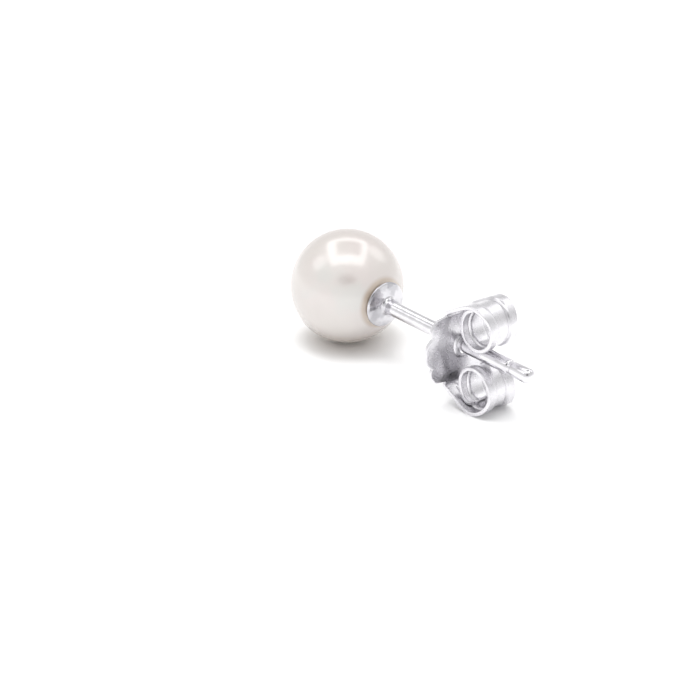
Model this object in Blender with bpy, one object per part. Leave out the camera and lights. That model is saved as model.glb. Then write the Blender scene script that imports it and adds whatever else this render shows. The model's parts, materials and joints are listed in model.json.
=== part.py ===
"""Pearl stud earring with its butterfly back, lying on a flat surface.

Lengths are in metres and +Z is up. The earring rests on two spots, the underside of the
pearl and the lower curl of the butterfly back, so its post runs along +X and dips a
little towards the tip. The origin is on the surface, under the middle of the earring.

Every piece is laid out about the post's own axis and hangs on one empty at the pearl's
centre: x runs from the pearl's centre to the tip, y is sideways and z is the height
above the post's axis. The empty holds the dip.
"""

import math
from collections import namedtuple

import bmesh
import bpy

MM = 0.001

# Pearl and its half-drilled bore
PEARL_DIAMETER = 6.0 * MM
BORE_DIAMETER = 0.9 * MM
BORE_DEPTH = 2.4 * MM

# Cup, peg and post, soldered into one
CUP_DIAMETER = 2.46 * MM
CUP_WALL = 0.2 * MM
CUP_CLEARANCE = 0.06 * MM
NECK_DIAMETER = 1.14 * MM
NECK_LENGTH = 0.26 * MM
PEG_CLEARANCE = 0.08 * MM
POST_DIAMETER = 0.78 * MM
POST_LENGTH = 10.44 * MM
TIP_FLAT_DIAMETER = 0.1 * MM
GROOVE_FROM_TIP = 1.4 * MM
GROOVE_WIDTH = 0.34 * MM
GROOVE_DEPTH = 0.05 * MM

# Plate of the butterfly back
PLATE_FROM_CUP = 5.5 * MM
SHEET_THICKNESS = 0.2 * MM
PLATE_DIAMETER = 4.8 * MM
PETAL_ANGLE = math.radians(40.0)
PETAL_DEPTH = 0.3 * MM
WING_WIDTH = 0.6 * MM
WING_SWEEP = 0.15 * MM
FUNNEL_THROAT = 0.56 * MM
FUNNEL_WIDTH = 0.5 * MM
FUNNEL_DEPTH = 0.34 * MM
RUNNING_CLEARANCE = 0.06 * MM

# Strips of the butterfly back, which bend away from the plate and curl round to the post
BEND_HEIGHT = 1.8 * MM
BEND_RADIUS = 0.35 * MM
CURL_RADIUS = 1.24 * MM
CURL_FROM_PLATE = 0.4 * MM
CURL_TUCK = 0.15 * MM
CURL_TUCK_START = math.radians(-90.0)
CURL_END = math.radians(-190.0)
NOTCH_WIDTH = 0.16 * MM
NOTCH_DEPTH = 0.2 * MM
ROOT_WIDTH = 2.45 * MM
CURL_TOP_WIDTH = 2.25 * MM
CURL_BACK_WIDTH = 1.75 * MM

# Fineness of the solids
PEARL_SIDES = 36
PEARL_STEPS = 18
POST_SIDES = 24
DISH_STEPS = 4
NECK_STEPS = 3
TIP_STEPS = 4
PLATE_ROWS = 22
BEND_ROWS = 2
SLANT_ROWS = 3
CURL_ROWS = 28
COLUMNS = 16
HOLE_SIDES = 24
MERGE_DISTANCE = 0.0001 * MM

# Places along the post's axis, from the pearl's centre
PEARL_RADIUS = PEARL_DIAMETER / 2
POST_RADIUS = POST_DIAMETER / 2
PEG_RADIUS = BORE_DIAMETER / 2 - PEG_CLEARANCE
BORE_FLOOR = PEARL_RADIUS - BORE_DEPTH
CUP_FACE = PEARL_RADIUS + CUP_CLEARANCE
CUP_BACK = CUP_FACE + CUP_WALL
TIP = CUP_BACK + POST_LENGTH
TIP_ROUNDING = (POST_DIAMETER - TIP_FLAT_DIAMETER) / 2
PLATE = CUP_BACK + PLATE_FROM_CUP

# Curl's centre, from the plate's middle, and the curl's radius at the middle of the sheet
CURL_X = SHEET_THICKNESS / 2 + CURL_FROM_PLATE + CURL_RADIUS
CURL_Z = POST_RADIUS + RUNNING_CLEARANCE + CURL_RADIUS
CURL_MIDDLE_RADIUS = CURL_RADIUS - SHEET_THICKNESS / 2


# A row of the sheet: its middle, the way its outer side faces, half its width, and how
# much of the plate's relief it has
Row = namedtuple("Row", "x z angle half_width plate_share")


def dip_angle():
    """Angle at which the pearl and the lower curl both touch the surface."""
    reach = math.hypot(PLATE + CURL_X, CURL_Z)
    return math.asin((PEARL_RADIUS - CURL_RADIUS) / reach) - math.atan2(CURL_Z, PLATE + CURL_X)


def clear_objects():
    for item in list(bpy.data.objects):
        bpy.data.objects.remove(item, do_unlink=True)


def make_material(name, colour, roughness, metallic, coat=0.0):
    material = bpy.data.materials.new(name)
    material.use_nodes = True
    shader = material.node_tree.nodes["Principled BSDF"]
    shader.inputs["Base Color"].default_value = (*colour, 1.0)
    shader.inputs["Roughness"].default_value = roughness
    shader.inputs["Metallic"].default_value = metallic
    shader.inputs["Coat Weight"].default_value = coat
    return material


def add_object(name, bm, material, parent):
    """Turn the finished bmesh into a named object that hangs on its parent."""
    bmesh.ops.recalc_face_normals(bm, faces=bm.faces)
    mesh = bpy.data.meshes.new(name)
    bm.to_mesh(mesh)
    bm.free()
    item = bpy.data.objects.new(name, mesh)
    bpy.context.collection.objects.link(item)
    item.parent = parent
    if material:
        mesh.materials.append(material)
    return item


def shade_round(item, sharp_angle=math.radians(35.0)):
    item.data.shade_smooth()
    item.data.set_sharp_from_angle(angle=sharp_angle)


def arc(centre, radii, start, end, steps):
    """Points of an ellipse's arc in the profile plane, both ends included."""
    angles = [start + (end - start) * step / steps for step in range(steps + 1)]
    return [
        (centre[0] + radii[0] * math.cos(angle), centre[1] + radii[1] * math.sin(angle))
        for angle in angles
    ]


def turn(profile, sides):
    """Turn a profile of (x, radius) points, which starts and ends on the axis, about X."""
    bm = bmesh.new()
    points = [bm.verts.new((x, 0.0, radius)) for x, radius in profile]
    edges = [bm.edges.new(pair) for pair in zip(points, points[1:])]
    bmesh.ops.spin(
        bm,
        geom=points + edges,
        cent=(0.0, 0.0, 0.0),
        axis=(1.0, 0.0, 0.0),
        angle=math.tau,
        steps=sides,
        use_merge=True,
    )
    bmesh.ops.remove_doubles(bm, verts=bm.verts, dist=MERGE_DISTANCE)
    return bm


def make_pearl(parent):
    """A round pearl with a blind bore for the peg, drilled from the cup's side."""
    bore_radius = BORE_DIAMETER / 2
    mouth = math.asin(bore_radius / PEARL_RADIUS)
    radii = (PEARL_RADIUS, PEARL_RADIUS)
    skin = arc((0.0, 0.0), radii, mouth, math.pi, PEARL_STEPS)
    skin[-1] = (-PEARL_RADIUS, 0.0)
    profile = [(BORE_FLOOR, 0.0), (BORE_FLOOR, bore_radius), *skin]
    nacre = make_material("pearl_nacre", (0.86, 0.80, 0.76), 0.22, 0.0, coat=0.6)
    item = add_object("pearl", turn(profile, PEARL_SIDES), nacre, parent)
    shade_round(item)
    return item


def dish_profile():
    """The cup: hollow towards the pearl, with a round rim and a neck that runs into the post."""
    rim_angle = math.asin(CUP_DIAMETER / 2 / CUP_BACK)
    peg_angle = math.asin(PEG_RADIUS / CUP_FACE)
    neck_angle = math.asin(NECK_DIAMETER / 2 / CUP_BACK)
    face = arc((0.0, 0.0), (CUP_FACE, CUP_FACE), peg_angle, rim_angle, DISH_STEPS)
    back = arc((0.0, 0.0), (CUP_BACK, CUP_BACK), rim_angle, neck_angle, DISH_STEPS)
    neck_start = back[-1]
    neck_drop = neck_start[1] - POST_RADIUS
    neck = arc(
        (neck_start[0] + NECK_LENGTH, neck_start[1]),
        (NECK_LENGTH, neck_drop),
        math.pi,
        1.5 * math.pi,
        NECK_STEPS,
    )
    return face + back + neck[1:]


def post_end_profile():
    """The friction groove near the tip, and the rounded tip."""
    groove_middle = TIP - GROOVE_FROM_TIP
    groove = [
        (groove_middle - GROOVE_WIDTH / 2, POST_RADIUS),
        (groove_middle - GROOVE_WIDTH / 4, POST_RADIUS - GROOVE_DEPTH),
        (groove_middle + GROOVE_WIDTH / 4, POST_RADIUS - GROOVE_DEPTH),
        (groove_middle + GROOVE_WIDTH / 2, POST_RADIUS),
    ]
    centre = (TIP - TIP_ROUNDING, POST_RADIUS - TIP_ROUNDING)
    tip = arc(centre, (TIP_ROUNDING, TIP_ROUNDING), math.pi / 2, 0.0, TIP_STEPS)
    return groove + tip + [(TIP, 0.0)]


def make_cup_and_post(parent, metal):
    """Peg, cup and post as one turned solid, as they are once soldered."""
    peg_end = BORE_FLOOR + PEG_CLEARANCE
    peg = [(peg_end, 0.0), (peg_end, PEG_RADIUS)]
    profile = peg + dish_profile() + post_end_profile()
    item = add_object("cup_and_post", turn(profile, POST_SIDES), metal, parent)
    shade_round(item)
    return item


def slant_angle():
    """Angle between the plate and the straight slant that runs from its bend to the curl."""
    across = CURL_X - BEND_RADIUS
    up = CURL_Z - BEND_HEIGHT
    slack = (CURL_MIDDLE_RADIUS - BEND_RADIUS) / math.hypot(across, up)
    return math.acos(slack) - math.atan2(up, across)


def smooth(share):
    """Smooth step from 0 to 1."""
    share = min(max(share, 0.0), 1.0)
    return share * share * (3 - 2 * share)


def blend(first, second, share):
    return first + (second - first) * share


def plate_rows():
    """Rows of the flat plate, from its centre up to the bend."""
    count = PLATE_ROWS // 2
    heights = [BEND_HEIGHT * row / count for row in range(count + 1)]
    return [Row(0.0, z, math.pi, plate_half_width(z), 1.0) for z in heights]


def bend_rows():
    """Rows of the bend, where the strip's root leaves the plate."""
    rows = []
    for step in range(1, BEND_ROWS + 1):
        share = step / BEND_ROWS
        angle = math.pi - slant_angle() * share
        x = BEND_RADIUS * (1 + math.cos(angle))
        z = BEND_HEIGHT + BEND_RADIUS * math.sin(angle)
        rows.append(Row(x, z, angle, ROOT_WIDTH / 2, 1 - share))
    return rows


def curl_rows():
    """Rows of the curl, whose radius shrinks once it has passed the post."""
    rows = []
    start = math.pi - slant_angle()
    for step in range(CURL_ROWS + 1):
        angle = blend(start, CURL_END, step / CURL_ROWS)
        tuck = smooth((CURL_TUCK_START - angle) / (CURL_TUCK_START - CURL_END))
        radius = CURL_MIDDLE_RADIUS - CURL_TUCK * tuck
        x = CURL_X + radius * math.cos(angle)
        z = CURL_Z + radius * math.sin(angle)
        rows.append(Row(x, z, angle, strip_half_width(angle), 0.0))
    return rows


def slant_rows(first, last):
    """Rows of the straight slant, strictly between its two ends."""
    rows = []
    for step in range(1, SLANT_ROWS):
        share = step / SLANT_ROWS
        mixed = [blend(low, high, share) for low, high in zip(first, last)]
        rows.append(Row(*mixed))
    return rows


def strip_half_width(angle):
    """The strip narrows from its root to the curl's top, and on to the curl's back."""
    top = math.pi / 2
    if angle > top:
        return blend(CURL_TOP_WIDTH, ROOT_WIDTH, (angle - top) / top) / 2
    return blend(CURL_TOP_WIDTH, CURL_BACK_WIDTH, smooth((top - angle) / top)) / 2


def plate_half_width(height):
    """Outline of the plate: a circle with petals, notched where the strip's root begins."""
    radius = PLATE_DIAMETER / 2
    angle = math.asin(min(height / radius, 1.0))
    dent = 1 - abs(math.cos(math.pi * angle / PETAL_ANGLE))
    edge = (radius - PETAL_DEPTH * dent * dent) * math.cos(angle)
    notch = smooth(1 - (BEND_HEIGHT - height) / NOTCH_WIDTH)
    return blend(edge, ROOT_WIDTH / 2 - NOTCH_DEPTH, notch)


def plate_relief(across, height):
    """Depth of the plate's relief towards the tip: the funnel, and the swept-back wings."""
    distance = math.hypot(across, height)
    funnel = smooth(1 - (distance - FUNNEL_THROAT / 2) / FUNNEL_WIDTH)
    crease = PLATE_DIAMETER / 2 - WING_WIDTH
    sweep = smooth((distance - crease) / WING_WIDTH)
    return FUNNEL_DEPTH * funnel + WING_SWEEP * sweep


def sheet_rows():
    """All rows of the sheet's middle surface, from the lower curl's end to the upper's."""
    start = plate_rows() + bend_rows()
    curl = curl_rows()
    upper = start + slant_rows(start[-1], curl[0]) + curl
    lower = [row._replace(z=-row.z, angle=-row.angle) for row in upper[:0:-1]]
    return lower + upper


def make_sheet():
    """The stamped and rolled sheet's middle surface, as a grid of rows and columns."""
    bm = bmesh.new()
    grid = []
    for row in sheet_rows():
        points = []
        for column in range(COLUMNS + 1):
            y = row.half_width * (2 * column / COLUMNS - 1)
            relief = plate_relief(y, row.z) * row.plate_share
            x = row.x - relief * math.cos(row.angle)
            z = row.z - relief * math.sin(row.angle)
            points.append(bm.verts.new((x, y, z)))
        grid.append(points)
    for first, second in zip(grid, grid[1:]):
        for corners in zip(first, first[1:], second[1:], second):
            bm.faces.new(corners)
    return bm


def make_hole_cutter(parent):
    """Guide that cuts the post's hole through the funnel."""
    bm = bmesh.new()
    radius = POST_RADIUS + RUNNING_CLEARANCE
    bmesh.ops.create_cone(
        bm,
        cap_ends=True,
        segments=HOLE_SIDES,
        radius1=radius,
        radius2=radius,
        depth=2 * FUNNEL_DEPTH + 4 * SHEET_THICKNESS,
    )
    cutter = add_object("hole_guide", bm, None, parent)
    cutter.rotation_euler = (0.0, math.pi / 2, 0.0)
    cutter.location = (PLATE, 0.0, 0.0)
    cutter.hide_render = True
    cutter.display_type = "WIRE"
    return cutter


def make_butterfly_back(parent, metal):
    """One piece of sheet: scalloped plate, funnel with a hole, and two curled strips."""
    item = add_object("butterfly_back", make_sheet(), metal, parent)
    item.location = (PLATE, 0.0, 0.0)
    wall = item.modifiers.new("sheet", "SOLIDIFY")
    wall.thickness = SHEET_THICKNESS
    wall.offset = 0.0
    wall.use_even_offset = True
    hole = item.modifiers.new("post hole", "BOOLEAN")
    hole.operation = "DIFFERENCE"
    hole.solver = "EXACT"
    hole.object = make_hole_cutter(parent)
    shade_round(item)
    return item


def make_post_axis():
    """Empty at the pearl's centre that lays the earring down on its two resting spots."""
    axis = bpy.data.objects.new("post_axis", None)
    bpy.context.collection.objects.link(axis)
    dip = dip_angle()
    middle = (TIP * math.cos(dip) - PEARL_RADIUS) / 2
    axis.location = (-middle, 0.0, PEARL_RADIUS)
    axis.rotation_euler = (0.0, dip, 0.0)
    return axis


def main():
    clear_objects()
    axis = make_post_axis()
    metal = make_material("white_gold", (0.88, 0.87, 0.89), 0.12, 1.0)
    make_pearl(axis)
    make_cup_and_post(axis, metal)
    make_butterfly_back(axis, metal)


main()
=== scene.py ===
"""Looks of the pearl stud earring and its butterfly back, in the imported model's frame.

The pieces are laid out about the post's own axis: s runs from the pearl's centre to the
post's tip, h is sideways and v is the height above the axis. place() turns such points
into the row frame, where lengths are in metres and +Z is up.
"""

import json
import math

import bpy
import numpy as np
from bpy.props import FloatProperty, FloatVectorProperty, PointerProperty
from bpy.types import Operator, Panel, PropertyGroup
from mathutils import Matrix, Vector


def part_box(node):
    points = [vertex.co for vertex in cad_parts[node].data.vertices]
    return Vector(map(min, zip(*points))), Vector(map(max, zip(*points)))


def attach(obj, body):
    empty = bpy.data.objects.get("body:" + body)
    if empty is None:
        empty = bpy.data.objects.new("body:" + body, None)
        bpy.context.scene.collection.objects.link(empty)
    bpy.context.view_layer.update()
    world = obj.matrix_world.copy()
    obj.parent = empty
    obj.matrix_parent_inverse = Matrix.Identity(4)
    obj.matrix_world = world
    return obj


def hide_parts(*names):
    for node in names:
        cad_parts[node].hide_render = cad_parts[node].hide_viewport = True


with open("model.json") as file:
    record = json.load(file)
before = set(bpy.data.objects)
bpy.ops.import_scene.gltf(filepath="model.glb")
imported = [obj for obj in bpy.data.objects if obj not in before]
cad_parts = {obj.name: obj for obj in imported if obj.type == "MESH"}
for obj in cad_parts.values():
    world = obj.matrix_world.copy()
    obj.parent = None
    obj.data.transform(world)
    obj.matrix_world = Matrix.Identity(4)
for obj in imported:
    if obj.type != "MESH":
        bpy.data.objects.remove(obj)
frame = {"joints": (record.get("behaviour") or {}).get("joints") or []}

bl_info = {
    "name": "Pearl Stud Earring",
    "version": (1, 0, 0),
    "blender": (4, 5, 0),
    "location": "View3D > Sidebar > Earring",
    "description": "Makes a pearl stud, its post and its butterfly back, with a small studio",
    "category": "Add Mesh",
}

PEARL_BODY = "stud"
BACK_BODY = "butterfly_back"
SENSOR_WIDTH = 36.0
PEARL_CENTRE_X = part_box("pearl")[0].x
POST_AXIS = Vector(frame["joints"][0]["axis"]).normalized()

# Fineness of the meshes: sides round a turned piece, steps, samples, and spacings in metres
PEARL_SIDES = 144
POST_SIDES = 96
EDGE_STEPS = 4
RIM_SAMPLES = 400
BEND_SAMPLES = 60
CURL_SAMPLES = 1500
RIM_SPACING = 0.05e-3
STRIP_SPACING = 0.06e-3
FLOOR_LINES = 9

# Innermost ring of a flat end, over the end's radius
CORE_SHARE = 0.1

# Softening of the bore's mouth, the first part of a strip, where it leaves the plate, and
# the part over which its channel starts, in metres
MOUTH_SOFTENING = 0.04e-3
ROOT_RUN = 0.2e-3
CHANNEL_RUN_IN = 0.8e-3

# Width of the channel's sloping sides, over the strip's half width
CHANNEL_SIDE = 0.12

# Places across half a strip: near its middle, from the channel's side, and out to its edge
MIDDLE_COLUMNS = (0.0, 0.12, 0.24, 0.33)
SIDE_COLUMNS = (-0.07, -0.045, -0.02, 0.0, 0.02, 0.045, 0.07)
OUTER_COLUMNS = (0.6, 0.7, 0.8, 0.9, 1.0)

# Directions of the two side lamps: parts to the camera's right, up and forward
SIDE_LAMPS = ((-0.745, 0.61, -0.25), (0.683, 0.724, 0.10))


def length(name, description, millimetres):
    """A size in metres, given here in millimetres."""
    return FloatProperty(
        name=name,
        description=description,
        default=millimetres / 1000,
        unit="LENGTH",
        precision=6,
    )


def angle(name, description, degrees):
    """An angle, given here in degrees."""
    return FloatProperty(
        name=name,
        description=description,
        default=math.radians(degrees),
        subtype="ANGLE",
        unit="ROTATION",
    )


def share(name, description, default):
    """A share or a brightness, from zero up."""
    return FloatProperty(
        name=name,
        description=description,
        default=default,
        min=0.0,
        subtype="FACTOR",
    )


def colour(name, description, red, green, blue):
    """A colour in linear values."""
    return FloatVectorProperty(
        name=name,
        description=description,
        default=(red, green, blue),
        size=3,
        min=0.0,
        max=1.0,
        subtype="COLOR",
    )


class PearlSettings(PropertyGroup):
    """Sizes and colours of the pearl."""

    diameter: length("Diameter", "Width of the round pearl", 6.0)
    bore_diameter: length("Bore diameter", "Width of the hole for the peg", 0.9)
    bore_depth: length("Bore depth", "Depth of the blind hole for the peg", 2.4)
    cream: colour("Cream", "Body colour of the nacre", 0.615, 0.572, 0.543)
    rose: colour("Rose", "Pink overtone of the nacre", 0.628, 0.57, 0.547)
    silver: colour("Silver", "Cool overtone of the nacre", 0.60, 0.58, 0.553)
    # Painted shade: a dark tone that the nacre takes on where it turns away from the camera.
    edge: colour("Edge", "Colour of the nacre where it turns away", 0.34, 0.29, 0.265)
    # Painted shade: a warmer, darker tone low on the pearl, towards the floor; the same tone also
    # makes a ring round the cup.
    low_shade_and_cup_ring: colour("Warm", "Warmer nacre low down and round the cup", 0.47, 0.36, 0.26)
    roughness: share("Lustre roughness", "Blur of the nacre's deep reflection", 0.25)
    skin_roughness: share("Skin roughness", "Blur of the outer skin's reflection", 0.16)


class PostSettings(PropertyGroup):
    """Sizes of the peg, cup and post."""

    cup_diameter: length("Cup diameter", "Width of the cup behind the pearl", 2.46)
    cup_wall: length("Cup wall", "Thickness of the cup", 0.2)
    cup_clearance: length("Cup clearance", "Glue gap between cup and pearl", 0.06)
    neck_diameter: length("Neck diameter", "Width of the solder fillet on the cup", 1.14)
    neck_length: length("Neck length", "Length of the solder fillet along the post", 0.26)
    peg_clearance: length("Peg clearance", "Glue gap round the peg in the bore", 0.08)
    diameter: length("Post diameter", "Thickness of the post", 0.78)
    length: length("Post length", "From the cup's back to the tip", 10.44)
    tip_flat: length("Tip flat", "Width of the small flat at the tip", 0.1)
    groove_from_tip: length("Groove from tip", "Middle of the friction groove", 1.4)
    groove_width: length("Groove width", "Width of the friction groove", 0.34)
    groove_depth: length("Groove depth", "Depth of the friction groove", 0.05)


class BackSettings(PropertyGroup):
    """Sizes of the butterfly back."""

    from_cup: length("Plate from cup", "From the cup's back to the plate", 5.5)
    thickness: length("Sheet thickness", "Thickness of the stamped sheet", 0.2)
    edge_rounding: length("Edge rounding", "Rounding of the sheet's cut edges", 0.045)
    plate_diameter: length("Plate diameter", "Width of the plate over its petals", 4.8)
    petal_angle: angle("Petal angle", "Angle from one petal to the next", 40.0)
    petal_depth: length("Petal depth", "Depth of the dents between petals", 0.3)
    dome_depth: length("Dome depth", "Height of the plate's domed middle over its edge", 0.1)
    dome_lift: length("Dome lift", "How far the dome's top stands behind the plate's level", 0.04)
    wing_width: length("Wing width", "Width of the rim that is swept towards the pearl", 0.6)
    wing_sweep: length("Wing sweep", "How far the rim is swept towards the pearl", 0.03)
    collar_clearance: length("Collar clearance", "Gap between collar and post", 0.06)
    collar_fillet: length("Collar fillet", "Radius where the collar leaves the plate", 0.2)
    collar_depth: length("Collar depth", "Depth of the drawn collar", 0.27)
    bend_height: length("Bend height", "Where the strips leave the plate", 1.8)
    bend_radius: length("Bend radius", "Radius of the strips' bend", 0.35)
    curl_radius: length("Curl radius", "Outer radius of the curls", 1.24)
    curl_from_plate: length("Curl from plate", "Gap between curl and plate", 0.4)
    curl_tuck: length("Curl tuck", "How far the curl's inner turn is rolled in", 0.24)
    tuck_start: angle("Tuck start", "Where the curl starts to roll in", -90.0)
    tuck_end: angle("Tuck end", "Where the curl is fully rolled in", -210.0)
    curl_end: angle("Curl end", "Where the curl's inner turn ends", -258.0)
    end_rounding: length("End rounding", "Corner radius of the strips' ends", 0.35)
    root_width: length("Root width", "Width of the strips at the plate", 2.45)
    top_width: length("Top width", "Width of the strips at the curl's top", 2.25)
    back_width: length("Back width", "Width of the strips behind the curl", 1.75)
    notch_width: length("Notch width", "Height of the notch beside a strip's root", 0.12)
    notch_depth: length("Notch depth", "Depth of the notch beside a strip's root", 0.12)
    channel_depth: length("Channel depth", "Depth of the channel pressed along a strip", 0.11)
    channel_share: share("Channel share", "Width of the pressed channel over the strip's", 0.46)


class MetalSettings(PropertyGroup):
    """Colours and polish of the white gold."""

    bright: colour("Bright", "Plated surface", 0.765, 0.755, 0.78)
    worn: colour("Worn", "Where the plating is thinner", 0.69, 0.68, 0.705)
    # Darker colour in spots on the cup and its fillet; it leaves the roughness as it is.
    darker_cup: colour("Dull", "Less polished metal of the cup", 0.49, 0.485, 0.51)
    turned_polish: share("Turned polish", "Roughness of the post and its cup", 0.1)
    stamped_polish: share("Stamped polish", "Roughness of the stamped back", 0.27)
    haze: share("Haze", "Roughness added where the polish is less", 0.06)
    turned_wave: share("Turned wave", "Unevenness of the post and its cup", 0.35)
    stamped_wave: share("Stamped wave", "Unevenness of the stamped back", 0.25)


class StudioSettings(PropertyGroup):
    """Floor, light and camera."""

    floor_size: length("Floor size", "Side of the square floor", 900.0)
    floor_colour: colour("Floor colour", "Pale floor", 0.95, 0.95, 0.95)
    azimuth: angle("Camera azimuth", "Way that the camera looks, from +Y", 49.525)
    elevation: angle("Camera elevation", "Height of the camera's line", 26.442)
    distance: length("Camera distance", "From the camera to its aim", 120.0)
    aim_right: length("Aim right", "Aim, to the right of the pearl's centre", 0.144)
    aim_up: length("Aim up", "Aim, above the pearl's centre", -3.361)
    lens: FloatProperty(
        name="Lens",
        description="Focal length in millimetres on a 36 mm sensor",
        default=118.82,
        unit="CAMERA",
    )
    ambient: share("Ambient", "Brightness of the tent's walls", 0.78)
    horizon: share("Horizon", "Brightness of the tent's foot, beyond the table", 1.1)
    roof_frame: share("Roof frame", "Brightness of the soft frame overhead", 2.15)
    roof_middle: share("Roof middle", "Brightness inside the overhead frame", 0.62)
    lamps: share("Side lamps", "Brightness of the two soft side lamps", 0.7)
    opening: share("Opening", "Brightness of the tent's opening, by the camera", 0.05)
    lamp: share("Lamp", "Strength of the soft lamp overhead", 1.35)
    lamp_size: angle("Lamp size", "How wide the soft lamp looks from the table", 35.0)


class EarringSettings(PropertyGroup):
    """All settings of the earring and its studio."""

    pearl: PointerProperty(type=PearlSettings)
    post: PointerProperty(type=PostSettings)
    back: PointerProperty(type=BackSettings)
    metal: PointerProperty(type=MetalSettings)
    studio: PointerProperty(type=StudioSettings)


def pearl_centre(settings):
    """The pearl's centre in the row frame: it rests on the surface."""
    radius = settings.pearl.diameter / 2
    return Vector((PEARL_CENTRE_X + radius, 0.0, radius))


def place(points, settings):
    """Points about the post's axis, turned into the row frame.

    A point is the pearl's centre plus s times the post's direction, plus h sideways, plus
    v times the direction square to the post in the upright plane.
    """
    centre = np.array(pearl_centre(settings))
    along = np.array(POST_AXIS)
    sideways = np.array((0.0, 1.0, 0.0))
    upward = np.cross(along, sideways)
    return centre + points @ np.array((along, sideways, upward))


def smooth(value):
    """Smooth step: three times the square less twice the cube, between 0 and 1."""
    value = np.clip(value, 0.0, 1.0)
    return value * value * (3 - 2 * value)


def blend(first, second, value):
    """The first value plus a share of the way to the second."""
    return first + (second - first) * value


def grid_quads(index):
    """Quads of a grid of vertex numbers, each round its own four neighbours."""
    corners = (index[:-1, :-1], index[:-1, 1:], index[1:, 1:], index[1:, :-1])
    return np.stack(corners, axis=-1).reshape(-1, 4)


def make_piece(name, points, faces, settings):
    """A smooth mesh object at the origin, with its place in its mesh."""
    mesh = bpy.data.meshes.new(name)
    mesh.from_pydata(place(points, settings).tolist(), [], faces)
    mesh.validate()
    mesh.shade_smooth()
    piece = bpy.data.objects.new(name, mesh)
    bpy.context.scene.collection.objects.link(piece)
    return piece


def arc(centre, radius, start, end, steps):
    """Points of a circle's arc: the centre plus the radius times cosine and sine."""
    angles = np.linspace(start, end, steps + 1)
    ways = np.stack((np.cos(angles), np.sin(angles)), axis=1)
    return np.array(centre) + np.array(radius) * ways


def turned(profile, sides):
    """Points and faces of a closed turned piece.

    Each profile point (s, r) goes round the axis: h is r times the sine and v is r times
    the cosine of the angle. The first and last points are on the axis and close the ends.
    """
    ring = profile[1:-1]
    angles = np.linspace(0.0, math.tau, sides, endpoint=False)
    s = np.broadcast_to(ring[:, :1], (len(ring), sides))
    h = ring[:, 1:] * np.sin(angles)
    v = ring[:, 1:] * np.cos(angles)
    rings = np.stack((s, h, v), axis=-1).reshape(-1, 3)
    ends = np.array(((profile[0, 0], 0.0, 0.0), (profile[-1, 0], 0.0, 0.0)))
    index = np.arange(len(rings)).reshape(len(ring), sides)
    index = np.concatenate((index, index[:, :1]), axis=1)
    first, last = len(rings), len(rings) + 1
    quads = grid_quads(index[:, ::-1])
    start_fan = np.stack((np.full(sides, first), index[0, :-1], index[0, 1:]), axis=1)
    end_fan = np.stack((np.full(sides, last), index[-1, 1:], index[-1, :-1]), axis=1)
    faces = quads.tolist() + start_fan.tolist() + end_fan.tolist()
    return np.concatenate((rings, ends)), faces


def joined(*runs):
    """Runs of profile points in one array, with no point twice in a row."""
    profile = np.concatenate([np.atleast_2d(run) for run in runs])
    step = np.linalg.norm(np.diff(profile, axis=0), axis=1)
    least_step = 1e-9
    return profile[np.concatenate(((True,), step > least_step))]


def straight(start, end, steps):
    """Points at even steps from start to end."""
    return blend(np.array(start), np.array(end), np.linspace(0.0, 1.0, steps + 1)[:, None])


def even_run(points, spacing):
    """A run of points moved to even steps along its own length, both ends kept."""
    way = np.concatenate(((0.0,), np.cumsum(np.linalg.norm(np.diff(points, axis=0), axis=1))))
    stops = np.linspace(0.0, way[-1], max(2, round(way[-1] / spacing) + 1))
    return np.stack([np.interp(stops, way, column) for column in points.T], axis=1)


def vertex_normals(points, quads):
    """Unit normals: the sum of the cross products of the diagonals of the quads round a point."""
    corners = points[quads]
    face = np.cross(corners[:, 2] - corners[:, 0], corners[:, 3] - corners[:, 1])
    total = np.zeros_like(points)
    for corner in range(4):
        np.add.at(total, quads[:, corner], face)
    return total / np.linalg.norm(total, axis=1, keepdims=True)


def edge_runs(quads):
    """The open edges of a surface, each from its first point to its second."""
    first = quads.ravel()
    second = np.roll(quads, -1, axis=1).ravel()
    span = quads.max() + 1
    alone = ~np.isin(first * span + second, second * span + first)
    return first[alone], second[alone]


def sheet_shell(points, quads, thickness, rounding):
    """A closed sheet round a middle surface, with its cut edges rounded.

    Each point goes half the thickness up and down its normal. An edge point first goes in
    by the rounding, along the mean of its two edges' outward ways, and its rim follows a
    quarter circle down from the top, a flat and a quarter circle to the bottom. The least
    square keeps the way in short at a sharp corner.
    """
    normals = vertex_normals(points, quads)
    first, second = edge_runs(quads)
    run = points[second] - points[first]
    outward = np.cross(run, normals[first] + normals[second])
    outward /= np.linalg.norm(outward, axis=1, keepdims=True)
    total = np.zeros_like(points)
    np.add.at(total, first, outward)
    np.add.at(total, second, outward)
    edge = np.unique(first)
    least_square = 1.6
    square = (total[edge] ** 2).sum(axis=1, keepdims=True)
    ways = 2 * total[edge] / np.maximum(square, least_square)
    middle = points.copy()
    middle[edge] -= rounding * ways
    top = middle + normals * thickness / 2
    bottom = middle - normals * thickness / 2
    turn = np.linspace(0.0, math.pi / 2, EDGE_STEPS + 1)[1:]
    out = np.concatenate((np.sin(turn), np.sin(turn)[::-1]))
    lift = thickness / 2 - rounding + rounding * np.cos(turn)
    lift = np.concatenate((lift, -lift[::-1]))
    rim = middle[edge] + rounding * out[:, None, None] * ways + lift[:, None, None] * normals[edge]
    count = len(points)
    number = np.zeros(count, int)
    number[edge] = np.arange(len(edge))
    levels = 2 * count + np.arange(len(out))[:, None] * len(edge)

    def column(chosen):
        """Numbers of the points from the top over the rim to the bottom."""
        return np.concatenate((chosen[None], levels + number[chosen], chosen[None] + count))

    left, right = column(first), column(second)
    sides = np.stack((left[:-1], left[1:], right[1:], right[:-1]), axis=-1).reshape(-1, 4)
    shell = np.concatenate((quads, quads[:, ::-1] + count, sides))
    return np.concatenate((top, bottom, rim.reshape(-1, 3))), shell


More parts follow.
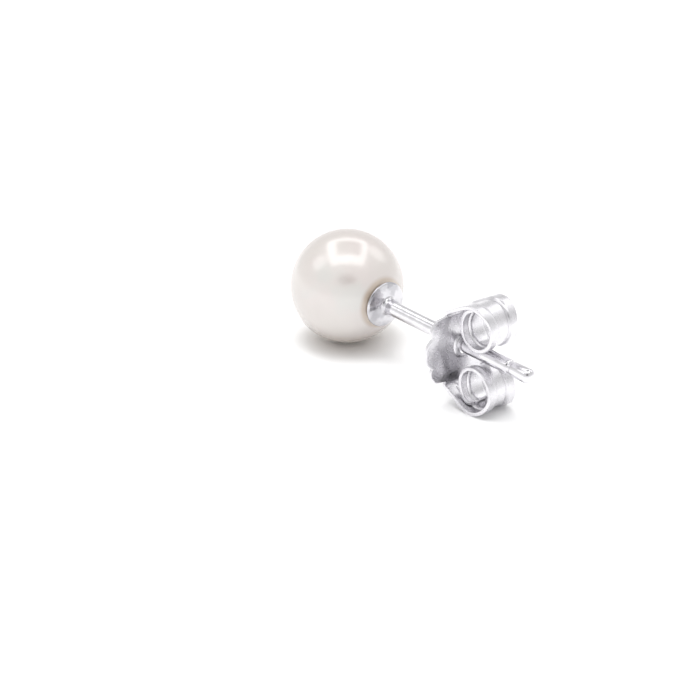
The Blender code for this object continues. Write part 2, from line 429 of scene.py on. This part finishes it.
def pearl_profile(pearl):
    """The round skin from the far pole, the bore's softened mouth, its wall and its floor."""
    radius = pearl.diameter / 2
    bore = pearl.bore_diameter / 2
    floor = radius - pearl.bore_depth
    softening = MOUTH_SOFTENING
    mouth = math.asin((bore + softening) / radius)
    lip_s = radius * math.cos(mouth)
    lip_centre = (lip_s - softening, bore + softening)
    skin = arc((0.0, 0.0), (radius, radius), math.pi, mouth, steps=110)
    skin[0, 1] = 0.0
    lip = arc(lip_centre, (softening, softening), 0.0, -0.5 * math.pi, steps=4)
    wall = straight(lip[-1], (floor, bore), steps=12)
    end = straight((floor, bore), (floor, CORE_SHARE * bore), steps=4)
    return joined(skin, lip[1:], wall, end, (floor, 0.0))


def post_profile(settings):
    """Peg, hollow cup, round rim, domed back, fillet, post, friction groove and round tip."""
    post = settings.post
    pearl_radius = settings.pearl.diameter / 2
    radius = post.diameter / 2
    peg = settings.pearl.bore_diameter / 2 - post.peg_clearance
    peg_end = pearl_radius - settings.pearl.bore_depth + post.peg_clearance
    face = pearl_radius + post.cup_clearance
    back = face + post.cup_wall
    tip = back + post.length
    rim_angle = math.asin((post.cup_diameter / 2 - post.cup_wall / 2) / back)
    rim_middle = (face + back) / 2
    rim_centre = (rim_middle * math.cos(rim_angle), rim_middle * math.sin(rim_angle))
    rim_radius = (post.cup_wall / 2, post.cup_wall / 2)
    peg_angle = math.asin(peg / face)
    neck_angle = math.asin(post.neck_diameter / 2 / back)
    hollow = arc((0.0, 0.0), (face, face), peg_angle, rim_angle, steps=16)
    rim = arc(rim_centre, rim_radius, rim_angle + math.pi, rim_angle, steps=12)
    dome = arc((0.0, 0.0), (back, back), rim_angle, neck_angle, steps=16)
    neck_start = dome[-1]
    neck_size = (post.neck_length, neck_start[1] - radius)
    neck_centre = (neck_start[0] + post.neck_length, neck_start[1])
    neck = arc(neck_centre, neck_size, math.pi, 1.5 * math.pi, steps=10)
    middle = tip - post.groove_from_tip
    across = np.linspace(-1.0, 1.0, num=21)
    dip = post.groove_depth * smooth(2.0 - 2.0 * np.abs(across))
    groove = np.stack((middle + across * post.groove_width / 2, radius - dip), axis=1)
    rounding = radius - post.tip_flat / 2
    end_centre = (tip - rounding, radius - rounding)
    end = arc(end_centre, (rounding, rounding), math.pi / 2, 0.0, steps=18)
    start = straight((peg_end, CORE_SHARE * peg), (peg_end, peg), steps=2)
    shaft = straight(neck[-1], groove[0], steps=30)
    outside = joined(rim, dome, neck, shaft, groove, end)
    return joined((peg_end, 0.0), start, hollow, outside, (tip, 0.0))


def petal_edge(back, turn):
    """Radius of the plate's edge at an angle from the sideways axis.

    It is the full radius less the petal depth times the square of the dent, and the dent
    is one less the size of the cosine of half a turn for each petal.
    """
    dent = 1 - np.abs(np.cos(math.pi * turn / back.petal_angle))
    return back.plate_diameter / 2 - back.petal_depth * dent * dent


def plate_half_width(back, height):
    """Half the plate's width at a height: the petal edge, notched beside the strip's root."""
    turn = np.arcsin(np.clip(height / (back.plate_diameter / 2), -1.0, 1.0))
    edge = petal_edge(back, np.abs(turn)) * np.cos(turn)
    notch = smooth(1 - (back.bend_height - np.abs(height)) / back.notch_width)
    return blend(edge, back.root_width / 2 - back.notch_depth, notch)


def plate_relief(back, across, height):
    """Height of the plate's sheet: domed towards the tip, with its rim swept to the pearl.

    The dome falls with the square of the share of the way out, and the rim falls by a
    smooth step over the wing's width.
    """
    distance = np.hypot(across, height)
    rim = back.plate_diameter / 2
    way = distance / rim
    sweep = smooth((distance - rim + back.wing_width) / back.wing_width)
    return back.dome_lift - back.dome_depth * way * way - back.wing_sweep * sweep


def columns_across(back):
    """Places across a strip from 1 to -1, closer together at the channel's sides."""
    side = back.channel_share + np.array(SIDE_COLUMNS)
    half = np.concatenate((MIDDLE_COLUMNS, side, OUTER_COLUMNS))
    return np.concatenate((half[:0:-1], -half))


def pressed_channel(back, across):
    """Depth of the channel pressed along a strip's middle, with a smooth step at each side."""
    inside = back.channel_share - np.abs(across)
    return back.channel_depth * smooth(0.5 + inside / CHANNEL_SIDE)


def plate_rim(back):
    """Points round the plate's edge, and the numbers of those on the two bend lines."""
    radius = back.plate_diameter / 2
    dent = back.petal_angle / 2
    last = math.asin(back.bend_height / radius)
    middle_petal = radius * np.sin(np.linspace(-dent, dent, RIM_SAMPLES))
    upper_petals = radius * np.sin(np.linspace(dent, last, 3 * RIM_SAMPLES))
    upper_petals[-1] = back.bend_height

    def run(heights):
        """Even steps along the rim from the first to the last of the heights."""
        return even_run(np.stack((plate_half_width(back, heights), heights), axis=1), RIM_SPACING)

    middle_run, upper_run = run(middle_petal), run(upper_petals)
    lower_run = upper_run[::-1] * (1.0, -1.0)
    right = np.concatenate((lower_run[:-1], middle_run, upper_run[1:]))
    left = right[::-1] * (-1.0, 1.0)
    across = columns_across(back)[1:-1]
    root = back.root_width / 2 - back.notch_depth
    upper = np.stack((across * root, np.full(len(across), back.bend_height)), axis=1)
    lower = upper * (-1.0, -1.0)
    rim = np.concatenate((right, upper, left, lower))
    upper_numbers = np.arange(len(right) - 1, len(right) + len(upper) + 1)
    lower_start = len(right) + len(upper) + len(left) - 1
    lower_numbers = np.arange(lower_start, lower_start + len(lower) + 2) % len(rim)
    return rim, upper_numbers, lower_numbers


def plate_points(back, post, rim):
    """The plate as rings: a drawn collar, its fillet, then even steps out to the rim.

    A ring's radius and depth follow the collar's profile, on top of the plate's relief at
    the fillet's edge. Outside the fillet a point is the fillet's edge plus a share of the
    way to the rim, with the relief there.
    """
    collar = post.diameter / 2 + back.collar_clearance + back.thickness / 2
    fillet = back.collar_fillet
    tube = straight((collar, back.collar_depth), (collar, fillet), steps=3)
    curve = arc((collar + fillet, fillet), (fillet, fillet), math.pi, 1.5 * math.pi, steps=8)
    profile = joined(tube, curve)
    turns = np.arctan2(rim[:, 1], rim[:, 0])
    ways = np.stack((np.cos(turns), np.sin(turns)), axis=1)
    rings = profile[:, :1, None] * ways
    edge = profile[-1, 0] * ways
    out = np.linspace(0.0, 1.0, num=21)[1:, None, None]
    flat = edge + (rim - edge) * out
    relief = plate_relief(back, flat[..., 0], flat[..., 1])
    depth = profile[:, 1:2, None] + plate_relief(back, profile[-1, 0], 0.0)
    inner = np.concatenate((np.broadcast_to(depth, (*rings.shape[:2], 1)), rings), axis=2)
    outer = np.concatenate((relief[..., None], flat), axis=2)
    return np.concatenate((inner, outer))


def slant_angle(back, curl_x, curl_z, curl_middle):
    """Angle between the plate and the straight that touches both the bend and the curl."""
    across = curl_x - back.bend_radius
    up = curl_z - back.bend_height
    slack = (curl_middle - back.bend_radius) / math.hypot(across, up)
    return math.acos(slack) - math.atan2(up, across)


def strip_path(back, post):
    """Rows of a strip's middle line: place, the way its outer side faces, and half width.

    The bend is an arc of its own radius, the slant is straight, and the curl is a circle
    whose radius shrinks smoothly by the tuck on its last part. Two more columns give the
    share of the plate's relief, which fades along the bend, and the way along the line.
    """
    curl_x = back.thickness / 2 + back.curl_from_plate + back.curl_radius
    curl_z = post.diameter / 2 + back.collar_clearance + back.curl_radius
    middle = back.curl_radius - back.thickness / 2
    slant = slant_angle(back, curl_x, curl_z, middle)
    bend = math.pi - slant * np.linspace(0.0, 1.0, BEND_SAMPLES)
    bend_x = back.bend_radius * (1 + np.cos(bend))
    bend_z = back.bend_height + back.bend_radius * np.sin(bend)
    curl = np.linspace(math.pi - slant, back.curl_end, CURL_SAMPLES)
    tuck = smooth((back.tuck_start - curl) / (back.tuck_start - back.tuck_end))
    radius = middle - back.curl_tuck * tuck
    x = np.concatenate((bend_x, curl_x + radius * np.cos(curl)))
    z = np.concatenate((bend_z, curl_z + radius * np.sin(curl)))
    way = np.concatenate(((0.0,), np.cumsum(np.hypot(np.diff(x), np.diff(z)))))
    bend_end = way[len(bend) - 1]
    root = np.linspace(0.0, ROOT_RUN, num=6)[1:-1]
    count = round((way[-1] - ROOT_RUN) / STRIP_SPACING)
    stops = np.concatenate((root, np.linspace(ROOT_RUN, way[-1], count)))
    line = np.stack((np.interp(stops, way, x), np.interp(stops, way, z)), axis=1)
    facing = np.interp(stops, way, np.concatenate((bend, curl)))
    top = math.pi / 2
    wide = blend(back.top_width, back.root_width, (facing - top) / top)
    narrow = blend(back.top_width, back.back_width, smooth((top - facing) / top))
    half = np.where(facing > top, wide, narrow) / 2
    half = half - back.notch_depth * (1 - smooth(stops / back.notch_width))
    left = np.clip(back.end_rounding - (way[-1] - stops), 0.0, back.end_rounding)
    half = half - back.end_rounding + np.sqrt(back.end_rounding**2 - left**2)
    plate_part = np.clip(1 - stops / bend_end, 0.0, 1.0)
    return line, facing, half, plate_part, stops


def strip_points(back, post):
    """The upper strip: its path carried across its width, pressed inwards in the middle.

    A point is the path's place plus its offset, less the channel's depth and the plate's
    relief, along the way that the outer side faces.
    """
    line, facing, half, plate_part, way = strip_path(back, post)
    across = columns_across(back)
    h = half[:, None] * across
    relief = plate_relief(back, h, np.minimum(line[:, 1:], back.bend_height)) * plate_part[:, None]
    channel = pressed_channel(back, across) * smooth(way / CHANNEL_RUN_IN)[:, None]
    offset = -channel - relief
    x = line[:, :1] + offset * np.cos(facing)[:, None]
    z = line[:, 1:] + offset * np.sin(facing)[:, None]
    return np.stack((x, h, z), axis=-1)


def sheet_surface(settings):
    """Points and quads of the middle surface: the plate's rings and the two strips.

    The strips start from the rim's own points on the bend lines, so the sheet is one.
    """
    back, post = settings.back, settings.post
    rim, upper_numbers, lower_numbers = plate_rim(back)
    plate = plate_points(back, post, rim)
    rings, rays = plate.shape[:2]
    index = np.arange(rings * rays).reshape(rings, rays)
    quads = [grid_quads(np.concatenate((index, index[:, :1]), axis=1))]
    points = [plate.reshape(-1, 3)]
    upper = strip_points(back, post)
    lower = upper * (1.0, -1.0, -1.0)
    count = rings * rays
    for strip, numbers in ((upper, upper_numbers), (lower, lower_numbers)):
        own = count + np.arange(strip.shape[0] * strip.shape[1]).reshape(strip.shape[:2])
        quads.append(grid_quads(np.concatenate((index[-1, numbers][None], own))))
        points.append(strip.reshape(-1, 3))
        count += own.size
    return np.concatenate(points), np.concatenate(quads)


class Nodes:
    """Short ways to add nodes to one node tree."""

    def __init__(self, tree):
        self.tree = tree

    def add(self, kind, **settings):
        """A new node with its settings."""
        node = self.tree.nodes.new(kind)
        for key, value in settings.items():
            setattr(node, key, value)
        return node

    def feed(self, socket, value):
        """Link a socket to another one, or set its value."""
        if isinstance(value, bpy.types.NodeSocket):
            self.tree.links.new(value, socket)
        else:
            socket.default_value = value

    def maths(self, operation, first, second=0.0, third=0.0):
        """Result of one operation on up to three values."""
        node = self.add("ShaderNodeMath", operation=operation)
        for socket, value in zip(node.inputs, (first, second, third)):
            self.feed(socket, value)
        return node.outputs[0]

    def step(self, value, low, high, low_out=0.0, high_out=1.0):
        """Smooth step of a value from low_out at low to high_out at high."""
        node = self.add("ShaderNodeMapRange", interpolation_type="SMOOTHSTEP")
        for socket, item in zip(node.inputs, (value, low, high, low_out, high_out)):
            self.feed(socket, item)
        return node.outputs[0]

    def mix(self, factor, first, second):
        """Colour between a first one at 0 and a second one at 1."""
        node = self.add("ShaderNodeMix", data_type="RGBA")
        self.feed(node.inputs["Factor"], factor)
        self.feed(node.inputs[6], first)
        self.feed(node.inputs[7], second)
        return node.outputs[2]

    def noise(self, vector, scale, detail=2.0, roughness=0.5):
        """Soft noise between about 0.2 and 0.8, with a middle of 0.5."""
        node = self.add("ShaderNodeTexNoise")
        self.feed(node.inputs["Vector"], vector)
        self.feed(node.inputs["Scale"], scale)
        self.feed(node.inputs["Detail"], detail)
        self.feed(node.inputs["Roughness"], roughness)
        return node.outputs["Fac"]

    def dot(self, vector, other):
        """How far one vector reaches along another."""
        node = self.add("ShaderNodeVectorMath", operation="DOT_PRODUCT")
        self.feed(node.inputs[0], vector)
        self.feed(node.inputs[1], other)
        return node.outputs["Value"]

    def bump(self, height, strength, distance):
        """Normals of a surface raised by a height times a distance in metres."""
        node = self.add("ShaderNodeBump")
        self.feed(node.inputs["Strength"], strength)
        self.feed(node.inputs["Distance"], distance)
        self.feed(node.inputs["Height"], height)
        return node.outputs["Normal"]


def new_material(name):
    """A node material with its Principled shader, and the helper for its nodes."""
    material = bpy.data.materials.new(name)
    material.use_nodes = True
    nodes = Nodes(material.node_tree)
    return material, material.node_tree.nodes["Principled BSDF"], nodes


def millimetre_places(nodes, centre):
    """Object coordinates in millimetres from a centre given in metres."""
    places = nodes.add("ShaderNodeTexCoord").outputs["Object"]
    mapping = nodes.add("ShaderNodeMapping")
    mapping.inputs["Location"].default_value = [-1000 * value for value in centre]
    mapping.inputs["Scale"].default_value = (1000.0, 1000.0, 1000.0)
    nodes.feed(mapping.inputs["Vector"], places)
    return mapping.outputs["Vector"]


def rgba(value):
    """A colour with full opacity, as colour sockets want it."""
    return (*value, 1.0)


def cup_distance(nodes, places):
    """Distance from the post's axis on the cup's side, and far more on the other side.

    It is the length of the cross product of a place with the axis's direction.
    """
    cross = nodes.add("ShaderNodeVectorMath", operation="CROSS_PRODUCT")
    nodes.feed(cross.inputs[0], places)
    nodes.feed(cross.inputs[1], POST_AXIS)
    size = nodes.add("ShaderNodeVectorMath", operation="LENGTH")
    nodes.feed(size.inputs[0], cross.outputs["Vector"])
    far_side = nodes.maths("LESS_THAN", nodes.dot(places, POST_AXIS), 0.0)
    more = 10.0
    return nodes.maths("MULTIPLY_ADD", far_side, more, size.outputs["Value"])


def nacre_material(settings):
    """Nacre: cream with soft rose and silver overtones, a deep blurred lustre and a skin.

    Smooth steps of slow noises mix the overtones in. A warmer, darker tone is painted shade
    low on the pearl, towards the floor, and the same tone makes a ring round the cup; its
    share is the larger of two smooth steps, in millimetres. The edge tone is painted shade
    that comes in as the surface turns away from the camera.
    """
    pearl = settings.pearl
    material, shader, nodes = new_material("pearl_nacre")
    places = millimetre_places(nodes, pearl_centre(settings))
    rose = nodes.step(nodes.noise(places, scale=0.35, detail=1.0), low=0.38, high=0.62)
    silver = nodes.step(nodes.noise(places, scale=0.55), low=0.48, high=0.70)
    body = nodes.mix(rose, rgba(pearl.cream), rgba(pearl.rose))
    body = nodes.mix(silver, body, rgba(pearl.silver))
    depth = nodes.dot(places, (0.0, 0.0, -1.0))
    # Painted shade: a warmer, darker tone low on the pearl, towards the floor.
    painted_low_shade = nodes.step(depth, low=1.5, high=3.0, high_out=0.8)
    distance = cup_distance(nodes, places)
    # The same darker, warmer tone in a ring round the cup's edge.
    ring = nodes.step(distance, low=1.22, high=1.5, low_out=0.85, high_out=0.0)
    body = nodes.mix(nodes.maths("MAXIMUM", painted_low_shade, ring), body, rgba(pearl.low_shade_and_cup_ring))
    # Painted shade: the base colour darkens towards the edge tone as the surface turns away from
    # the camera.
    facing = nodes.add("ShaderNodeLayerWeight")
    facing.inputs["Blend"].default_value = 0.5
    edge_shade_falloff = 1.5
    edge = nodes.maths("POWER", facing.outputs["Facing"], edge_shade_falloff)
    nodes.feed(shader.inputs["Base Color"], nodes.mix(edge, body, rgba(pearl.edge)))
    grain = nodes.noise(places, scale=2.0)
    spread = 0.01
    less, more = pearl.roughness - spread, pearl.roughness + spread
    lustre = nodes.step(grain, low=0.3, high=0.7, low_out=less, high_out=more)
    nodes.feed(shader.inputs["Roughness"], lustre)
    shader.inputs["IOR"].default_value = 1.6
    shader.inputs["Specular IOR Level"].default_value = 1.0
    shader.inputs["Coat Weight"].default_value = 1.0
    shader.inputs["Coat Roughness"].default_value = pearl.skin_roughness
    shader.inputs["Coat IOR"].default_value = 2.0
    level = nodes.noise(places, scale=1.4)
    nodes.feed(shader.inputs["Normal"], nodes.bump(level, strength=0.12, distance=0.00002))
    return material


def metal_material(name, settings, polish, wave):
    """Plated white gold, a little uneven in colour, polish and level.

    The polish is the given roughness plus a share of the haze, and the level is a slow
    noise plus a small part of a fine one, raised by the wave. The cup and its fillet, up
    to 3.5 mm behind the pearl's centre, are darker in spots.
    """
    metal = settings.metal
    material, shader, nodes = new_material(name)
    places = millimetre_places(nodes, pearl_centre(settings))
    patches = nodes.step(nodes.noise(places, scale=1.3, detail=3.0), low=0.40, high=0.68)
    body = nodes.mix(patches, rgba(metal.bright), rgba(metal.worn))
    along = nodes.dot(places, POST_AXIS)
    # Darker colour in spots on the cup and its fillet, up to 3.5 mm behind the pearl's centre.
    cup = nodes.step(along, low=3.3, high=3.5, low_out=1.0, high_out=0.0)
    spots = nodes.step(nodes.noise(places, scale=1.6), low=0.42, high=0.62, low_out=0.35)
    darker_cup = nodes.maths("MULTIPLY", cup, spots)
    nodes.feed(shader.inputs["Base Color"], nodes.mix(darker_cup, body, rgba(metal.darker_cup)))
    shader.inputs["Metallic"].default_value = 1.0
    fine = nodes.noise(places, scale=9.0, detail=4.0, roughness=0.6)
    hazy = polish + metal.haze
    gloss = nodes.step(fine, low=0.35, high=0.75, low_out=polish, high_out=hazy)
    nodes.feed(shader.inputs["Roughness"], gloss)
    waves = nodes.noise(places, scale=2.2)
    scratches = nodes.noise(places, scale=30.0)
    scratch_share = 0.03
    level = nodes.maths("MULTIPLY_ADD", scratches, scratch_share, waves)
    nodes.feed(shader.inputs["Normal"], nodes.bump(level, strength=wave, distance=0.00003))
    return material


def floor_material(settings):
    """Matt pale floor, which a very slow noise darkens by up to a hundredth."""
    material, shader, nodes = new_material("studio_floor")
    places = millimetre_places(nodes, (0.0, 0.0, 0.0))
    tone = nodes.noise(places, scale=0.02, detail=1.0)
    pale = rgba(settings.studio.floor_colour)
    darkest = 0.99
    darker = rgba([darkest * value for value in settings.studio.floor_colour])
    nodes.feed(shader.inputs["Base Color"], nodes.mix(tone, pale, darker))
    shader.inputs["Roughness"].default_value = 0.9
    shader.inputs["Specular IOR Level"].default_value = 0.1
    return material


def camera_ways(studio):
    """The camera's forward, right and up directions, from its azimuth and elevation."""
    turn, rise = studio.azimuth, studio.elevation
    forward = Vector(
        (-math.sin(turn) * math.cos(rise), math.cos(turn) * math.cos(rise), -math.sin(rise))
    )
    right = Vector((math.cos(turn), math.sin(turn), 0.0))
    return forward, right, right.cross(forward)


def level(forward):
    """The level direction under the camera's forward one."""
    return Vector((forward.x, forward.y, 0.0)).normalized()


def make_camera(settings):
    """Camera on the line that the azimuth and elevation give, level, aimed near the pearl."""
    studio = settings.studio
    forward, right, up = camera_ways(studio)
    data = bpy.data.cameras.new("camera")
    data.sensor_width = SENSOR_WIDTH
    data.lens = studio.lens
    data.clip_start = 0.01
    data.clip_end = 10.0
    camera = bpy.data.objects.new("camera", data)
    bpy.context.scene.collection.objects.link(camera)
    turn = Matrix((right, up, -forward)).transposed().to_4x4()
    aim = pearl_centre(settings) + right * studio.aim_right + up * studio.aim_up
    turn.translation = aim - forward * studio.distance
    camera.matrix_world = turn
    bpy.context.scene.camera = camera


def roof_light(nodes, across, away, up, studio):
    """Brightness of the roof, a soft frame with a dimmer middle, and the roof's place.

    A direction meets a level plane one unit up at across over up and away over up. The
    frame is the outer box less the inner box, both with soft edges.
    """
    least, soft = 0.001, 0.07
    above = nodes.maths("MAXIMUM", up, least)
    x = nodes.maths("DIVIDE", across, above)
    y = nodes.maths("DIVIDE", away, above)

    def box(centre_x, centre_y, half_x, half_y):
        """1 inside a box on the plane and 0 outside, with a smooth step between."""
        off_x = nodes.maths("ABSOLUTE", nodes.maths("SUBTRACT", x, centre_x))
        off_y = nodes.maths("ABSOLUTE", nodes.maths("SUBTRACT", y, centre_y))
        in_x = nodes.step(off_x, half_x - soft, half_x + soft, low_out=1.0, high_out=0.0)
        in_y = nodes.step(off_y, half_y - soft, half_y + soft, low_out=1.0, high_out=0.0)
        return nodes.maths("MULTIPLY", in_x, in_y)

    outer = box(centre_x=0.0, centre_y=0.28, half_x=0.62, half_y=0.69)
    inner = box(centre_x=0.05, centre_y=0.33, half_x=0.36, half_y=0.36)
    bright = nodes.maths("MULTIPLY", outer, studio.roof_frame)
    loss = nodes.maths("MULTIPLY", inner, studio.roof_frame - studio.roof_middle)
    return nodes.maths("SUBTRACT", bright, loss), outer


def oval_opening(nodes, way, forward, right, up):
    """Share of the tent's opening: an oval round a way a little above the camera's.

    Its size is the root of the squares of the sideways and upward parts of a direction,
    each over its own half width, and only in the camera's half of the tent.
    """
    lift, half_width, half_height = 0.17, 0.30, 0.17
    centre = (lift * up - forward).normalized()
    raised = right.cross(-centre)
    sideways = nodes.maths("DIVIDE", nodes.dot(way, right), half_width)
    upward = nodes.maths("DIVIDE", nodes.dot(way, raised), half_height)
    square = nodes.maths("MULTIPLY", upward, upward)
    size = nodes.maths("SQRT", nodes.maths("MULTIPLY_ADD", sideways, sideways, square))
    front = nodes.maths("GREATER_THAN", nodes.dot(way, centre), 0.0)
    inside = nodes.step(size, low=0.7, high=1.3, low_out=1.0, high_out=0.0)
    return nodes.maths("MULTIPLY", inside, front)


def make_world(settings):
    """The light tent as a sky: pale walls, a soft roof frame, two side lamps, an opening.

    The walls are brightest at their foot, are dimmed at the opening, and stop at the roof.
    The roof and the lamps are added to them. A lamp is a smooth step of how far a direction
    reaches along the lamp's own.
    """
    studio = settings.studio
    forward, right, up = camera_ways(studio)
    world = bpy.data.worlds.new("light_tent")
    world.use_nodes = True
    bpy.context.scene.world = world
    nodes = Nodes(world.node_tree)
    way = nodes.add("ShaderNodeTexCoord").outputs["Generated"]
    height = nodes.dot(way, (0.0, 0.0, 1.0))
    across = nodes.dot(way, right)
    deep = nodes.dot(way, level(forward))
    roof, roof_place = roof_light(nodes, across, deep, height, studio)
    foot, top = studio.horizon, studio.ambient
    walls = nodes.step(height, low=0.0, high=0.5, low_out=foot, high_out=top)
    lamps = []
    for sideways, raised, ahead in SIDE_LAMPS:
        lamp_way = (sideways * right + raised * up + ahead * forward).normalized()
        reach = nodes.dot(way, lamp_way)
        lamps.append(nodes.step(reach, low=0.955, high=0.99, high_out=studio.lamps))
    opening = oval_opening(nodes, way, forward, right, up)
    dim = nodes.maths("MULTIPLY", opening, studio.ambient - studio.opening)
    walls = nodes.maths("SUBTRACT", walls, dim)
    rest = nodes.maths("MULTIPLY", walls, nodes.maths("SUBTRACT", 1.0, roof_place))
    total = nodes.maths("ADD", nodes.maths("ADD", roof, rest), nodes.maths("ADD", *lamps))
    background = world.node_tree.nodes["Background"]
    nodes.feed(background.inputs["Strength"], total)
    background.inputs["Color"].default_value = (1.0, 1.0, 1.0, 1.0)


def make_lamp(settings):
    """A wide soft lamp high above, a little behind and to the left, that gloss doesn't show."""
    studio = settings.studio
    forward, right = camera_ways(studio)[:2]
    data = bpy.data.lights.new("overhead_lamp", "SUN")
    data.energy = studio.lamp
    data.angle = studio.lamp_size
    lamp = bpy.data.objects.new("overhead_lamp", data)
    lean = 0.06
    lamp_way = lean * level(forward) - lean * right + Vector((0.0, 0.0, 1.0))
    lamp.rotation_euler = lamp_way.to_track_quat("Z", "Y").to_euler()
    lamp.visible_glossy = False
    bpy.context.scene.collection.objects.link(lamp)


class EARRING_OT_pearl(Operator):
    """Make the round pearl with its blind bore"""

    bl_idname = "earring.pearl"
    bl_label = "Pearl"

    def execute(self, context):
        settings = context.scene.earring
        points, faces = turned(pearl_profile(settings.pearl), PEARL_SIDES)
        piece = make_piece("pearl_skin", points, faces, settings)
        piece.data.materials.append(nacre_material(settings))
        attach(piece, PEARL_BODY)
        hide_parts("pearl")
        return {"FINISHED"}


class EARRING_OT_cup_and_post(Operator):
    """Make the peg, cup and post, which are soldered into one"""

    bl_idname = "earring.cup_and_post"
    bl_label = "Cup and post"

    def execute(self, context):
        settings = context.scene.earring
        points, faces = turned(post_profile(settings), POST_SIDES)
        piece = make_piece("turned_cup_and_post", points, faces, settings)
        polish, wave = settings.metal.turned_polish, settings.metal.turned_wave
        piece.data.materials.append(metal_material("turned_white_gold", settings, polish, wave))
        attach(piece, PEARL_BODY)
        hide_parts("cup_and_post")
        return {"FINISHED"}


class EARRING_OT_butterfly_back(Operator):
    """Make the butterfly back from one stamped and curled sheet"""

    bl_idname = "earring.butterfly_back"
    bl_label = "Butterfly back"

    def execute(self, context):
        settings = context.scene.earring
        back, post = settings.back, settings.post
        points, quads = sheet_surface(settings)
        cup_back = settings.pearl.diameter / 2 + post.cup_clearance + post.cup_wall
        points = points + (cup_back + back.from_cup, 0.0, 0.0)
        points, quads = sheet_shell(points, quads, back.thickness, back.edge_rounding)
        piece = make_piece("stamped_butterfly_back", points, quads.tolist(), settings)
        polish, wave = settings.metal.stamped_polish, settings.metal.stamped_wave
        piece.data.materials.append(metal_material("stamped_white_gold", settings, polish, wave))
        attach(piece, BACK_BODY)
        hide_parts("butterfly_back")
        return {"FINISHED"}


class EARRING_OT_studio(Operator):
    """Make the pale floor, the light tent and the camera"""

    bl_idname = "earring.studio"
    bl_label = "Studio"

    def execute(self, context):
        settings = context.scene.earring
        half = settings.studio.floor_size / 2
        places = np.linspace(-half, half, FLOOR_LINES)
        x, y = np.meshgrid(places, places, indexing="ij")
        points = np.stack((x, y, np.zeros_like(x)), axis=-1).reshape(-1, 3)
        index = np.arange(len(points)).reshape(FLOOR_LINES, FLOOR_LINES)
        quads = grid_quads(index)[:, ::-1]
        mesh = bpy.data.meshes.new("studio_floor")
        mesh.from_pydata(points.tolist(), [], quads.tolist())
        mesh.materials.append(floor_material(settings))
        floor = bpy.data.objects.new("studio_floor", mesh)
        context.scene.collection.objects.link(floor)
        make_world(settings)
        make_lamp(settings)
        make_camera(settings)
        context.scene.view_settings.view_transform = "Standard"
        return {"FINISHED"}


class EARRING_PT_panel(Panel):
    """Buttons for the pieces, and their settings"""

    bl_idname = "EARRING_PT_panel"
    bl_label = "Pearl stud earring"
    bl_space_type = "VIEW_3D"
    bl_region_type = "UI"
    bl_category = "Earring"

    def draw(self, context):
        layout = self.layout
        for operator in OPERATORS:
            layout.operator(operator.bl_idname)
        settings = context.scene.earring
        for name in ("pearl", "post", "back", "metal", "studio"):
            box = layout.box()
            box.label(text=name.capitalize())
            group = getattr(settings, name)
            for key in group.__annotations__:
                box.prop(group, key)


OPERATORS = (
    EARRING_OT_pearl,
    EARRING_OT_cup_and_post,
    EARRING_OT_butterfly_back,
    EARRING_OT_studio,
)
CLASSES = (
    PearlSettings,
    PostSettings,
    BackSettings,
    MetalSettings,
    StudioSettings,
    EarringSettings,
    *OPERATORS,
    EARRING_PT_panel,
)


def register():
    """Register the classes and keep the settings on the scene."""
    for item in CLASSES:
        bpy.utils.register_class(item)
    bpy.types.Scene.earring = PointerProperty(type=EarringSettings)


def unregister():
    """Take the settings and the classes away again."""
    del bpy.types.Scene.earring
    for item in reversed(CLASSES):
        bpy.utils.unregister_class(item)


def main():
    """Register the classes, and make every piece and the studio."""
    register()
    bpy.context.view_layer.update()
    bpy.ops.earring.pearl()
    bpy.ops.earring.cup_and_post()
    bpy.ops.earring.butterfly_back()
    bpy.ops.earring.studio()


if __name__ == "__main__":
    main()
